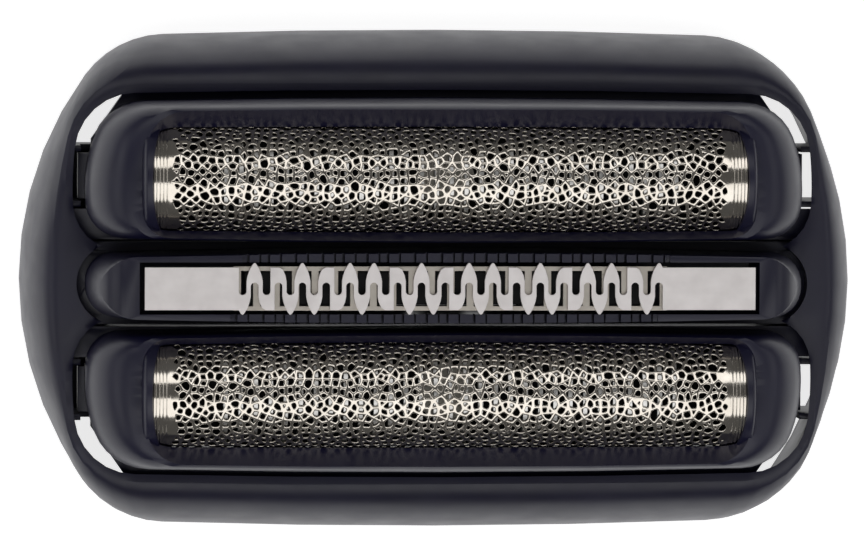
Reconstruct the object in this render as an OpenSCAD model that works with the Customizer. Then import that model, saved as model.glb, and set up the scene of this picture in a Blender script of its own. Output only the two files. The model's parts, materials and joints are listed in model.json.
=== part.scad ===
// Foil head of a dry shaver, in millimetres. Two foil units and a long-hair trimmer float in one housing.
// The foils face up (+Z), X runs along the foils and the origin is at the middle of the lower rim.

/* [Foils] */
// Length of a foil along the head
foil_len = 40.9; // [36:0.1:46]
// Outer radius of a foil's arch
foil_r = 3.9; // [3.7:0.05:4.1]
// Thickness of the foil sheet
foil_t = 0.1; // [0.08:0.01:0.12]
// Straight part of the foil below the arch
foil_leg = 2.2; // [1.6:0.1:2.6]
// Distance from the middle of the head to a foil's axis
foil_y = 7.35; // [7.2:0.05:7.6]
// Angle of the arch that shows on each side of its top
foil_seen_deg = 67; // [60:1:70]
// Holes in one row of a foil
hole_columns = 24; // [8:1:24]
// Rows of holes over the arch
hole_rows = 5; // [3:2:5]
// Bar left between two holes of a row
hole_bar = 0.32; // [0.25:0.01:0.5]
// Length of foil hidden under the frame at each end
foil_lap = 0.15; // [0.1:0.05:0.2]
// Plain strip that shows at each end of a foil
foil_plain = 1.4; // [1:0.1:3]

/* [Foil frame] */
// Height of the frame's top edge above the housing's rim
frame_rise = 6; // [5:0.1:6.2]
// Height of the foil's top above the frame's top edge
foil_rise = 0.9; // [0.5:0.05:1.1]
// Wall between the foil and the frame's outer side
frame_wall_out = 1.55; // [1.3:0.05:2]
// Wall between the foil and the side that faces the trimmer
frame_wall_in = 0.5; // [0.4:0.02:0.6]
// Length of the rounded end beyond the window
pillow_len = 3.67; // [3:0.01:4.5]
// Width of the bevel round the window at its ends
bevel_end = 0.68; // [0.4:0.02:1]
// Width of the rounding of the outer side
side_round_out = 0.63; // [0.4:0.01:0.8]
// Width of the rounding of the inner side
side_round_in = 0.25; // [0.15:0.01:0.3]
// Height of the rounding above the frame's straight wall
pillow_h = 5; // [4:0.1:5.8]
// Plan radius of the frame's outer corners
frame_corner_out = 3.7; // [2.5:0.1:4.2]
// Plan radius of the corners next to the trimmer
frame_corner_in = 2.4; // [1.5:0.1:2.8]
// Depth of the skirt below the housing's rim
skirt_depth = 6.2; // [5.8:0.1:6.4]
// Length of the skirt past the end of the foil
skirt_end = 2.75; // [2.5:0.05:2.85]

/* [Housing] */
// Height of the housing's rim above the lower rim
housing_h = 10.6; // [10.3:0.1:12]
// Level at which the housing is widest
widest_z = 2; // [1.5:0.1:3]
// How far the lower rim draws in under the widest level
foot_inset = 0.1; // [0.1:0.05:0.4]
// Thickness of the housing's wall
housing_wall = 0.7; // [0.7:0.05:1]
// Thickness of that wall at the lower rim
foot_wall = 0.45; // [0.4:0.05:0.7]
// Thickness of the rim that holds the units down
rim_t = 1.2; // [1.1:0.05:1.5]
// Gap between a foil frame and the rim on the long side
gap_side = 0.55; // [0.4:0.05:0.8]
// Gap between a foil frame and the rim at the ends
gap_end = 0.85; // [0.7:0.01:1]
// Flat rim beside the foil frames
rim_side = 0.62; // [0.6:0.02:1]
// Flat rim beyond the foil frames' ends
rim_end = 0.9; // [0.75:0.02:1.2]
// Width of the bevelled lip inside the flat rim
lip_w = 0.5; // [0.3:0.05:0.55]
// Depth of the bevelled lip
lip_h = 0.45; // [0.2:0.05:0.6]
// Width of the sloping shoulder on the long sides
shoulder_side = 3.38; // [2.5:0.02:4.5]
// Width of the sloping shoulder at the ends
shoulder_end = 2.6; // [2:0.05:3.5]
// Plan radius of each end of the housing
housing_end_r = 24; // [22:1:30]
// Plan radius of the housing's long sides
housing_side_r = 540; // [300:10:900]
// Plan radius of the housing's corners
housing_corner_r = 7; // [6:0.1:8]

/* [Guides and travel] */
// Travel of a unit into the housing
float_travel = 1.8; // [1:0.1:1.9]
// Free length of a float spring as fitted
float_spring_h = 4; // [3.8:0.1:4.1]
// Mean radius of a float spring
float_spring_r = 0.6; // [0.5:0.01:0.65]
// Wire of a float spring
float_wire = 0.2; // [0.16:0.01:0.22]
// Width of the tongue on each end of a foil frame
tongue_w = 3.1; // [2.4:0.1:3.2]
// Thickness of the guide ribs beside the tongue
rib_t = 0.4; // [0.3:0.05:0.5]
// Clearance between a tongue and its ribs
guide_clear = 0.15; // [0.1:0.01:0.2]

/* [Cutters] */
// Number of lamellae in one cutter
lamella_count = 31; // [15:2:31]
// Distance from one lamella to the next
lamella_pitch = 1.02; // [0.95:0.01:1.04]
// Thickness of one lamella
lamella_t = 0.3; // [0.2:0.01:0.4]
// Depth of a lamella's arch
lamella_depth = 0.82; // [0.6:0.02:0.9]
// Gap between the lamellae and the foil
shear_gap = 0.08; // [0.05:0.01:0.1]
// Stroke of a cutter to each side
cutter_stroke = 1.2; // [0.6:0.1:1.3]
// Radius of the bush that takes the drive pin
bush_r = 1.6; // [1.5:0.05:1.65]
// Radius of the socket in the bush
socket_r = 1.1; // [0.9:0.05:1.2]
// Depth of the socket
socket_depth = 3.8; // [3:0.1:4]
// Wire of a cutter spring
cutter_wire = 0.3; // [0.25:0.01:0.32]

/* [Trimmer] */
// How much longer the comb plate is than a foil
comb_extra = 0.7; // [0.3:0.1:1]
// Width of the comb plate without the points
comb_w = 2.9; // [2.6:0.05:3]
// Thickness of the comb plate
comb_t = 0.3; // [0.2:0.02:0.32]
// Reach of the comb's points from the middle line
comb_reach = 1.75; // [1.6:0.01:1.78]
// Distance from one comb tooth to the next on the same side
comb_pitch = 1.62; // [1.5:0.01:1.65]
// Comb teeth on the rear side
comb_teeth = 18; // [8:1:18]
// Width of the slots in the comb
comb_slot = 0.52; // [0.44:0.01:0.56]
// Distance from one rung of the moving blade to the next
rung_pitch = 1.32; // [1.2:0.01:1.4]
// Width of a rung
rung_w = 0.5; // [0.4:0.01:0.6]
// Stroke of the moving blade to each side
blade_stroke = 0.8; // [0.4:0.05:0.9]
// Width of the trimmer's frame
trimmer_w = 4.94; // [4.8:0.02:5]
// Length of the sloping end of the trimmer's frame
trimmer_nose = 2.5; // [2.2:0.05:2.9]
// Height of that end's steep lower band and slope
trimmer_nose_h = 5; // [3.5:0.1:5.4]
// Height of the comb's top above the foil frames' top edge
comb_rise = 0.6; // [0.3:0.05:0.8]

/* [Hidden] */
navy = "#24242f";
soft_black = "#1a1a1d";
nickel = "#c8c2b6";
steel = "#d6d0cc";
spring_steel = "#a9abae";
natural_white = "#d8d4c8";

// Overrun of every cut
cut = 0.6;
// Points on the end arc, corner arc and side arc of a quarter outline
end_steps = 5;
corner_steps = 6;
side_steps = 2;
// Levels in a rounded shoulder
shoulder_steps = 7;
band_steps = 5;
// Smoothness of exact round parts
round_fn = 48;

// Levels of the whole head
rim_under = housing_h - rim_t;
frame_top = housing_h + frame_rise;
foil_z = frame_top + foil_rise - foil_r;
skirt_z = housing_h - skirt_depth;
comb_top = frame_top + comb_rise;

// Window and frame of a foil unit, measured from the middle of the head
foil_clear = 0.07;
window_hl = foil_len / 2 - foil_lap;
window_hw = foil_r * sin(foil_seen_deg);
window_z = foil_z + foil_r * cos(foil_seen_deg) + 2 * foil_clear;
top_hl = window_hl + bevel_end;
frame_hl = top_hl + pillow_len;
frame_out_y = foil_y + foil_r + frame_wall_out;
frame_in_y = foil_y - foil_r - frame_wall_in;
cavity_hw = foil_r + foil_clear;
// The frame's ends are fullest a little nearer the trimmer than the foil's axis
crown_shift = 0.75;
crown_y = foil_y - crown_shift;
frame_end_r = 10;
frame_side_r = 900;
window_end_r = 14;
window_corner_out = 1.5;
window_corner_in = 1.2;
top_corner_out = 2.6;
top_corner_in = 1.8;
bezel_bottom = rim_under - 2 * guide_clear - foil_clear;
pillow_z = frame_top - pillow_h;

// Plan of the housing, built outwards from the foil frames
lobe_hl = frame_hl + gap_end;
lobe_out_y = frame_out_y + gap_side;
lobe_in_y = frame_in_y - gap_side - foil_clear * 5;
lobe_corner_out = frame_corner_out + gap_side;
lobe_corner_in = frame_corner_in + gap_end;
lobe_end_r = 25;
// The lower body bows in towards the rim: its share of the inset at a share of the height
foot_share = 0.4;
foot_bow = 0.3;
rim_hl = lobe_hl + rim_end;
rim_hw = lobe_out_y + rim_side;
rim_end_r = 60;
rim_side_r = 900;
rim_corner_r = 5.2;
widest_hl = rim_hl + shoulder_end;
widest_hw = rim_hw + shoulder_side;

// Skirt, tongues and hooks of a foil frame
skirt_hl = foil_len / 2 + skirt_end;
skirt_inset = 0.06;
skirt_in_y = frame_in_y + skirt_inset;
skirt_chamfer = 2.4;
skirt_corner = 0.15;
flange_corner = 1.1;
cavity_hl = foil_len / 2 + foil_clear;
// The cover over a foil's end: its thickness, its radius, and its length before it slopes down
cover_t = 0.19;
cover_r = foil_r + foil_clear + cover_t;
cover_hl = cavity_hl + foil_clear;
// Its edge leans inwards by this share of the depth under the crown
cover_lean = 0.3;
tongue_t = 1.8;
tongue_y = foil_y;
tongue_drop = 2.6;
spring_margin = 0.06;
spring_out_r = float_spring_r + float_wire / 2;
spring_x = skirt_hl + spring_out_r + 4 * spring_margin;
tongue_z = rim_under - tongue_drop;
spring_seat_z = tongue_z - float_spring_h;
tongue_reach = spring_x + spring_out_r + 4 * spring_margin;
hook_w = 1;
hook_t = 1.2;
hook_bite = 0.55;
hook_out_y = tongue_y - tongue_w / 2 - rib_t - 2 * guide_clear;
hook_reach = lobe_hl + hook_bite;
stop_gap = 0.1;
// Flange under the rim, with its outer corners cut off along the line that shows in the housing's corners
flange_t = 1.2;
flange_back = 0.45;
flange_hl = frame_hl - flange_back;
flange_out_y = lobe_out_y + hook_bite;
flange_chamfer_x = 2.8;
flange_chamfer_y = 4;
// The opening in the rim flares downwards
rim_flare = 0.25;

// Guides inside the housing
rib_x = frame_hl + guide_clear * 1.7;
shelf_t = 1;
shelf_reach = lobe_hl + 2 * spring_margin;
shelf_x = skirt_hl + 2 * guide_clear;
// A thinner lip of the spring bridge goes on under the skirt's ends
bridge_lip = 0.4;
bridge_lip_t = 0.3;
// Up to this level the ribs reach in under the frames' ends
rib_step_z = rim_under - stop_gap - flange_t - float_travel - stop_gap;
peg_h = 0.9;
peg_r = float_spring_r - float_wire / 2 - 2 * spring_margin;
// Rails along the housing, under the gaps between the foil frames and the trimmer
rail_out_y = skirt_in_y - guide_clear;
rail_w = 0.55;
rail_t = 1;
catch_w = 8;
catch_t = 0.9;
catch_h = 0.8;
catch_z = 1.6;

// Cutter, holder and drive bush
lamella_r = foil_r - foil_t - shear_gap;
lamella_in_r = lamella_r - lamella_depth;
lamella_leg_extra = 0.2;
lamella_leg = foil_leg + lamella_leg_extra;
carrier_under_legs = 1;
slide_gap = 0.1;
carrier_bottom = foil_z - lamella_leg - carrier_under_legs;
holder_t = 1.3;
holder_top = carrier_bottom - slide_gap;
holder_rail = 0.95;
holder_clear = 0.1;
plug_t = 1.1;
plug_gap = 0.05;
carrier_t = 1.9;
carrier_rail = 0.85;
carrier_inset = 0.12;
carrier_rail_out = lamella_r - carrier_inset;
carrier_over = 1;
carrier_hl = (lamella_count - 1) / 2 * lamella_pitch + lamella_t / 2 + carrier_over;
carrier_end_t = 0.7;
carrier_floor_t = 0.7;
bush_fit = 0.05;
boss_wall = 0.8;
boss_r = bush_r + bush_fit + boss_wall;
boss_h = 1.7;
holder_gap_hl = carrier_hl - cutter_stroke - 2 * holder_clear;
collar_w = 0.35;
collar_r = bush_r + collar_w;
collar_t = 0.4;
bush_flange_w = 0.8;
bush_flange_r = bush_r + bush_flange_w;
bush_flange_t = 0.7;
bush_inset = 0.2;
bush_z = skirt_z + bush_inset;
cutter_spring_r = bush_r + bush_flange_w / 2;

// Trimmer
comb_len = foil_len + comb_extra;
comb_under = comb_top - comb_t;
blade_t = 0.25;
blade_z = comb_under - slide_gap - blade_t;
blade_rail_in = 1.2;
blade_rail_out = 1.5;
trimmer_gap = 0.33;
trimmer_window_hl = comb_len / 2 + trimmer_gap;
comb_tip_gap = 0.02;
trimmer_window_hw = comb_reach + comb_tip_gap;
comb_proud = 0.4;
trimmer_top = comb_top - comb_proud;
trimmer_flat = 1;
trimmer_flat_hl = trimmer_window_hl + trimmer_flat;
trimmer_hl = trimmer_flat_hl + trimmer_nose;
trimmer_side_round = 0.18;
// The end slopes from the flat top, between two angles, down to the ridge of the steep band
trimmer_band = 0.87;
trimmer_slope = trimmer_nose - trimmer_band;
trimmer_slope_from = 15;
trimmer_slope_to = 55;
trimmer_top_share = 0.52;
band_bulge = 1.5;
trimmer_end_r = 3.2;
trimmer_corner_r = 2;
trimmer_top_end_r = 3.2;
trimmer_top_corner_r = 1.9;
trimmer_under_rim = 1;
trimmer_bottom = rim_under - trimmer_under_rim;
trimmer_pocket = 1.8;
trimmer_pocket_wall = 0.7;
trimmer_floor_z = trimmer_bottom + trimmer_pocket;
trimmer_floor_t = 0.8;
trimmer_lobe_gap = 0.35;
trimmer_end_gap = 0.6;
trimmer_lobe_r = trimmer_w / 2 + trimmer_lobe_gap;
trimmer_lobe_hl = trimmer_hl + trimmer_end_gap;
lug_w = 4.4;
trimmer_flange_gap = 0.1;
trimmer_flange_hw = frame_in_y - trimmer_flange_gap;
trimmer_flange_hl = rib_x - 4 * trimmer_flange_gap;
trimmer_flange_t = 0.6;
lug_reach = trimmer_lobe_hl + hook_bite;
guard_w = 0.66;
guard_notch = 0.15;
guard_drop = 0.3;
// A guard beside a blunt tooth stands nearer its upright edge
guard_shift = 0.22;
notch_depth = 1;
leg_w = comb_pitch / 2 - comb_slot;
tooth_hw = comb_slot / 2 + leg_w;
first_tooth = -(comb_teeth - 1) / 2 * comb_pitch + comb_pitch / 4;
slot_end = 0.42;
tooth_root = 0.5;
// Half widths and heights of a pointed tooth, and of a blunt one, as shares of its own half width and reach
point_shares = [[1, 0.3], [0.88, 0.5], [0.62, 0.74], [0.38, 0.93], [0.25, 0.98], [0.1, 1]];
blunt_shares = [[1, 0.3], [0.86, 0.52], [0.55, 0.74], [0.2, 0.81], [0.05, 0.83]];
blunt_reach_share = 0.83;
// Kinds of tooth in order along each side: a point, or blunt with its left or its right edge upright
rear_kinds = ["point", "left", "point", "right", "point"];
front_kinds = ["point", "right", "point", "point", "left"];
slider_hl = 14;
slider_hw = 1.1;
slider_t = 1.3;
tower_hl = 1.5;
tower_hw = 0.6;
tower_z = bush_z;
drive_slot = 1;
drive_slot_depth = 2.4;
leaf_hl = 9.5;
leaf_crest_hl = 4.6;
leaf_hw = 1.2;
leaf_t = 0.2;
leaf_gap = 0.05;
tower_gap = 0.2;

// A quarter of an outline, from the end at angle 0 to the long side at angle 90
function quarter(hl, hw, end_r, side_r, corner_r) =
    let (ex = hl - end_r,
         sy = hw - side_r,
         re = end_r - corner_r,
         rs = side_r - corner_r,
         d = sqrt(ex * ex + sy * sy),
         a = (re * re - rs * rs + d * d) / (2 * d),
         h = sqrt(re * re - a * a),
         px = ex - a * ex / d - h * sy / d,
         py = a * sy / d - h * ex / d,
         a1 = atan2(py, px - ex),
         a2 = atan2(py - sy, px))
    concat(
        [for (i = [0:end_steps]) let (t = a1 * i / end_steps) [ex + end_r * cos(t), end_r * sin(t)]],
        [for (i = [1:corner_steps]) let (t = a1 + (a2 - a1) * i / corner_steps)
            [px + corner_r * cos(t), py + corner_r * sin(t)]],
        [for (i = [1:side_steps]) let (t = a2 + (90 - a2) * i / side_steps)
            [side_r * cos(t), sy + side_r * sin(t)]]);

// A closed outline whose two long halves may differ, at a level z and round the line y
function outline(hl, up, down, end_r, side_r, corner_up, corner_down, y, z) =
    let (a = quarter(hl, up, end_r, side_r, corner_up),
         b = quarter(hl, down, end_r, side_r, corner_down),
         n = len(a) - 1)
    concat(
        [for (i = [0:n]) [a[i][0], y + a[i][1], z]],
        [for (i = [1:n]) [-a[n - i][0], y + a[n - i][1], z]],
        [for (i = [1:n]) [-b[i][0], y - b[i][1], z]],
        [for (i = [1:n - 1]) [b[n - i][0], y - b[n - i][1], z]]);

function mix(a, b, share) = a + (b - a) * share;
function mix_r(a, b, share) = 1 / mix(1 / a, 1 / b, share);

// A solid through a stack of outlines
module loft(rings) {
    n = len(rings[0]);
    m = len(rings);
    polyhedron(
        points = [for (ring = rings) each ring],
        faces = concat(
            [[for (i = [0:n - 1]) i]],
            [[for (i = [0:n - 1]) (m - 1) * n + n - 1 - i]],
            [for (j = [0:m - 2]) for (i = [0:n - 1])
                [j * n + i, (j + 1) * n + i, (j + 1) * n + (i + 1) % n, j * n + (i + 1) % n]]),
        convexity = 6);
}

// A box from its two corners
module block(low, high) {
    translate(low) cube([for (i = [0:2]) high[i] - low[i]]);
}

// A profile drawn in Y and Z, extruded along X and centred on it
module along_x(length) {
    rotate([90, 0, 90]) translate([0, 0, -length / 2]) linear_extrude(length) children();
}

// The front unit mirrors the rear one
module at_side(side) {
    if (side > 0) children();
    else mirror([0, 1, 0]) children();
}

// Coil spring with closed ends, standing on the origin
module coil(mean_r, wire, height, turns) {
    sides = 5;
    turn_steps = 10;
    steps = turns * turn_steps;
    closed = wire * 1.08;
    open_pitch = (height - wire - 2 * closed) / (turns - 2);
    rise = function (turn) turn < 1 ? closed * turn
        : turn < turns - 1 ? closed + open_pitch * (turn - 1)
        : height - wire - closed * (turns - turn);
    polyhedron(
        points = [for (i = [0:steps]) for (k = [0:sides - 1])
            let (a = 360 * i / turn_steps,
                 b = 360 * k / sides,
                 r = mean_r + wire / 2 * cos(b))
            [r * cos(a), r * sin(a), wire / 2 + rise(i / turn_steps) + wire / 2 * sin(b)]],
        faces = concat(
            [[for (k = [0:sides - 1]) k]],
            [[for (k = [0:sides - 1]) steps * sides + sides - 1 - k]],
            [for (i = [0:steps - 1]) for (k = [0:sides - 1])
                [i * sides + k, (i + 1) * sides + k,
                 (i + 1) * sides + (k + 1) % sides, i * sides + (k + 1) % sides]]),
        convexity = 8);
}

// Outer surface of the housing at a share of the shoulder, drawn in by a wall
function housing_ring(share, z, inset) = outline(
    mix(widest_hl, rim_hl, share) - inset,
    mix(widest_hw, rim_hw, share) - inset,
    mix(widest_hw, rim_hw, share) - inset,
    mix_r(housing_end_r, rim_end_r, share) - inset,
    mix_r(housing_side_r, rim_side_r, share) - inset,
    mix(housing_corner_r, rim_corner_r, share) - inset,
    mix(housing_corner_r, rim_corner_r, share) - inset,
    0, z);

// Share of the shoulder reached at a level
function shoulder_share(z) = 1 - cos(asin((z - widest_z) / (housing_h - widest_z)));

// Outline of the opening round one foil unit, widened by grow
function lobe_ring(grow, z) = outline(
    lobe_hl + grow,
    lobe_out_y - crown_y + grow,
    crown_y - lobe_in_y + grow,
    lobe_end_r + grow,
    frame_side_r + grow,
    lobe_corner_out + grow,
    lobe_corner_in + grow,
    crown_y, z);

// Everything that is hollow in the housing
module housing_hollow() {
    wall_levels = [widest_z, mix(widest_z, rim_under, 0.55), rim_under];
    loft(concat(
        [housing_ring(0, -cut, foot_wall + foot_inset)],
        [housing_ring(0, foot_share * widest_z, foot_wall + foot_bow * foot_inset)],
        [for (z = wall_levels) housing_ring(shoulder_share(z), z, housing_wall)]));
    for (side = [-1, 1]) at_side(side) {
        loft([lobe_ring(rim_flare, rim_under - cut), lobe_ring(rim_flare, rim_under),
              lobe_ring(0, housing_h - lip_h),
              lobe_ring(lip_w, housing_h), lobe_ring(lip_w, housing_h + cut)]);
    }
    translate([0, 0, rim_under - cut]) linear_extrude(rim_t + 2 * cut) {
        square([2 * (trimmer_lobe_hl - trimmer_lobe_r), 2 * trimmer_lobe_r], center = true);
        for (x = [-1, 1]) translate([x * (trimmer_lobe_hl - trimmer_lobe_r), 0]) {
            circle(trimmer_lobe_r, $fn = round_fn);
        }
    }
}

// Guide ribs, the spring bridge and the catch rib of each end, and the rails, kept out of the hollow
module housing_guides() {
    guides = [[-tongue_y, tongue_w], [0, lug_w], [tongue_y, tongue_w]];
    bridge_hw = tongue_y + tongue_w / 2 + guide_clear + rib_t;
    bridge_z = spring_seat_z - shelf_t;
    for (x = [-1, 1]) scale([x, 1, 1]) {
        block([shelf_x, -bridge_hw, bridge_z], [shelf_reach, bridge_hw, spring_seat_z]);
        block([skirt_hl - bridge_lip, -bridge_hw, bridge_z],
              [shelf_reach, bridge_hw, bridge_z + bridge_lip_t]);
        for (guide = guides) {
            translate([spring_x, guide[0], bridge_z]) cylinder(r = peg_r, h = shelf_t + peg_h, $fn = 24);
            for (s = [-1, 1]) {
                rib_y = guide[0] + s * (guide[1] / 2 + guide_clear + rib_t / 2);
                block([rib_x, rib_y - rib_t / 2, bridge_z], [widest_hl, rib_y + rib_t / 2, rim_under]);
                block([shelf_x, rib_y - rib_t / 2, bridge_z], [widest_hl, rib_y + rib_t / 2, rib_step_z]);
            }
        }
        block([widest_hl - housing_wall - catch_t, -catch_w / 2, catch_z],
              [widest_hl, catch_w / 2, catch_z + catch_h]);
    }
    for (s = [-1, 1]) translate([0, s * (rail_out_y - rail_w / 2), rib_step_z - rail_t / 2]) {
        cube([2 * rib_x, rail_w, rail_t], center = true);
    }
}

module outer_frame() {
    foot_rings = [
        housing_ring(0, 0, foot_inset),
        housing_ring(0, foot_share * widest_z, foot_bow * foot_inset)];
    shoulder_rings = [for (i = [0:shoulder_steps]) let (t = 90 * i / shoulder_steps)
        housing_ring(1 - cos(t), widest_z + (housing_h - widest_z) * sin(t), 0)];
    color(navy) difference() {
        loft(concat(foot_rings, shoulder_rings));
        difference() {
            housing_hollow();
            housing_guides();
        }
    }
}

// Outer surface of a foil frame at a share of its rounding
function frame_ring(share, z) = outline(
    mix(frame_hl, top_hl, share),
    mix(frame_out_y, frame_out_y - side_round_out, share) - crown_y,
    crown_y - mix(frame_in_y, frame_in_y + side_round_in, share),
    mix(frame_end_r, window_end_r, share),
    frame_side_r,
    mix(frame_corner_out, top_corner_out, share),
    mix(frame_corner_in, top_corner_in, share),
    crown_y, z);

// Inner outline of a foil frame, with given half length and half width round the foil's axis
function window_ring(hl, hw, z) = outline(
    hl, foil_y + hw - crown_y, crown_y - foil_y + hw,
    window_end_r, frame_side_r, window_corner_out, window_corner_in, crown_y, z);

// Plan of a frame's lower part: a rectangle with cut corners, which are longer on the outer side
module lower_plan(hl, in_y, out_y, corner, chamfer_x, chamfer_y) {
    polygon([[-hl, in_y + corner], [-hl + corner, in_y],
             [hl - corner, in_y], [hl, in_y + corner],
             [hl, out_y - chamfer_y], [hl - chamfer_x, out_y],
             [-hl + chamfer_x, out_y], [-hl, out_y - chamfer_y]]);
}

// Section of the seat that a foil is pushed up into, in Y and Z
module foil_seat_plan() {
    translate([foil_y, foil_z]) {
        circle(cavity_hw, $fn = round_fn * 2);
        translate([-cavity_hw, skirt_z - foil_z - cut]) square([2 * cavity_hw, foil_z - skirt_z + cut]);
    }
}

// Cover over the foil's end: it follows the arch and slopes down to the frame's top edge
module end_cover() {
    slope_r = frame_top - foil_z;
    slope = [for (i = [0:corner_steps]) let (t = 90 * i / corner_steps)
        [mix(slope_r, cover_r, cos(t)), mix(cover_hl, top_hl, sin(t))]];
    lean = cover_lean * cover_r;
    crown_z = foil_z + cover_r;
    difference() {
        translate([0, foil_y, foil_z]) rotate([0, 90, 0]) rotate_extrude($fn = round_fn * 2) {
            polygon(concat([[0, window_hl - lean], [cover_r, window_hl - lean]], slope, [[0, top_hl]]));
        }
        translate([0, foil_y + cover_r + cut, 0]) rotate([90, 0, 0]) linear_extrude(2 * (cover_r + cut)) {
            polygon([[0, crown_z - cover_r], [window_hl - lean, crown_z - cover_r], [window_hl, crown_z],
                     [window_hl, crown_z + cut], [0, crown_z + cut]]);
        }
    }
}

module foil_frame(side) {
    outer = concat(
        [frame_ring(0, bezel_bottom), frame_ring(0, pillow_z)],
        [for (i = [1:shoulder_steps]) let (t = 90 * i / shoulder_steps)
            frame_ring(1 - cos(t), pillow_z + pillow_h * sin(t))]);
    window = [
        window_ring(window_hl, window_hw, window_z - 4 * foil_clear),
        window_ring(window_hl, window_hw, window_z),
        frame_ring(1, frame_top),
        frame_ring(1, frame_top + cut)];
    hook_top = rim_under - stop_gap;
    skirt_out_y = frame_out_y - skirt_inset;
    color(navy) at_side(side) difference() {
        union() {
            difference() {
                loft(outer);
                loft(window);
            }
            for (x = [-1, 1]) scale([x, 1, 1]) end_cover();
            translate([0, 0, skirt_z]) linear_extrude(bezel_bottom - skirt_z + foil_clear) {
                lower_plan(skirt_hl, skirt_in_y, skirt_out_y, skirt_corner, skirt_chamfer, skirt_chamfer);
            }
            translate([0, 0, hook_top - flange_t]) linear_extrude(flange_t) {
                lower_plan(flange_hl, skirt_in_y, flange_out_y, flange_corner,
                           flange_chamfer_x, flange_chamfer_y);
            }
            for (x = [-1, 1]) scale([x, 1, 1]) {
                block([skirt_hl - hook_w, tongue_y - tongue_w / 2, tongue_z],
                      [tongue_reach, tongue_y + tongue_w / 2, tongue_z + tongue_t]);
                block([flange_hl - flange_corner - hook_w, skirt_in_y, hook_top - hook_t],
                      [hook_reach, hook_out_y, hook_top]);
            }
        }
        along_x(2 * cavity_hl) foil_seat_plan();
    }
}

// Holes over the arch, in rows that are staggered by half a pitch
module foil_holes() {
    perforated = 2 * (window_hl - foil_plain);
    pitch = perforated / (hole_columns + 0.5);
    row_deg = 2 * foil_seen_deg / (hole_rows + 0.5);
    hole_r = min((pitch - hole_bar) / 2, (row_deg * PI / 180 * foil_r - hole_bar) / 2) / cos(30);
    for (row = [0:hole_rows - 1]) {
        angle = (row - (hole_rows - 1) / 2) * row_deg;
        stagger = (row % 2) * pitch / 2;
        for (i = [0:hole_columns - 1]) {
            x = -perforated / 2 + pitch / 2 + i * pitch + stagger;
            translate([x, foil_y, foil_z]) rotate([angle, 0, 0]) {
                translate([0, 0, foil_r - 2 * foil_t]) cylinder(r = hole_r, h = 3 * foil_t, $fn = 6);
            }
        }
    }
}

module foil(side) {
    color(nickel) at_side(side) difference() {
        along_x(foil_len) translate([foil_y, foil_z]) difference() {
            union() {
                circle(foil_r, $fn = round_fn * 2);
                translate([-foil_r, -foil_leg]) square([2 * foil_r, foil_leg]);
            }
            circle(foil_r - foil_t, $fn = round_fn * 2);
            translate([-foil_r + foil_t, -foil_r - cut]) square([2 * (foil_r - foil_t), foil_r + cut]);
            translate([-foil_r - cut, -foil_r - cut]) square([2 * (foil_r + cut), foil_r + cut - foil_leg]);
        }
        foil_holes();
    }
}

// Ring that closes the foil frame from below, with two arched plugs that carry the foil's ends
module foil_holder(side) {
    hl = cavity_hl - holder_clear;
    hw = cavity_hw - holder_clear;
    plug_r = foil_r - foil_t - plug_gap;
    color(soft_black) at_side(side) {
        difference() {
            block([-hl, foil_y - hw, holder_top - holder_t], [hl, foil_y + hw, holder_top]);
            block([-holder_gap_hl, foil_y - hw + holder_rail, holder_top - holder_t - cut],
                  [holder_gap_hl, foil_y + hw - holder_rail, holder_top + cut]);
        }
        for (x = [-1, 1]) translate([x * (foil_len - plug_t) / 2, 0, 0]) along_x(plug_t) intersection() {
            union() {
                translate([foil_y, foil_z]) circle(plug_r, $fn = round_fn * 2);
                translate([foil_y - plug_r, holder_top]) square([2 * plug_r, foil_z - holder_top]);
            }
            translate([foil_y - foil_r, holder_top]) square([2 * foil_r, 2 * foil_r + foil_z - holder_top]);
        }
    }
}

// One lamella: an arch with two upright legs
module lamella_plan() {
    translate([foil_y, foil_z]) difference() {
        union() {
            circle(lamella_r, $fn = round_fn * 2);
            translate([-lamella_r, -lamella_leg]) square([2 * lamella_r, lamella_leg]);
        }
        circle(lamella_in_r, $fn = round_fn * 2);
        translate([-lamella_in_r, -lamella_r - cut]) square([2 * lamella_in_r, lamella_r + cut]);
        translate([-foil_r, -lamella_leg - foil_r]) square([2 * foil_r, foil_r]);
    }
}

module lamellae() {
    for (i = [0:lamella_count - 1]) {
        translate([(i - (lamella_count - 1) / 2) * lamella_pitch, 0, 0]) along_x(lamella_t) lamella_plan();
    }
}

module cutter_blades(side) {
    color(steel) at_side(side) lamellae();
}

// Tray whose rails hold the lamellae's legs, with a boss in its floor that guides the bush
module cutter_carrier(side) {
    top = carrier_bottom + carrier_t;
    out = carrier_rail_out;
    color(soft_black) at_side(side) difference() {
        union() {
            for (s = [-1, 1]) {
                y = foil_y + s * (out - carrier_rail / 2);
                block([-carrier_hl, y - carrier_rail / 2, carrier_bottom],
                      [carrier_hl, y + carrier_rail / 2, top]);
                x = s * (carrier_hl - carrier_end_t / 2);
                block([x - carrier_end_t / 2, foil_y - out, carrier_bottom],
                      [x + carrier_end_t / 2, foil_y + out, top]);
            }
            block([-carrier_hl, foil_y - out, carrier_bottom],
                  [carrier_hl, foil_y + out, carrier_bottom + carrier_floor_t]);
            translate([0, foil_y, carrier_bottom]) cylinder(r = boss_r, h = boss_h, $fn = round_fn);
        }
        translate([0, foil_y, carrier_bottom - cut]) {
            cylinder(r = bush_r + bush_fit, h = boss_h + 2 * cut, $fn = round_fn);
        }
        lamellae();
    }
}

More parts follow.
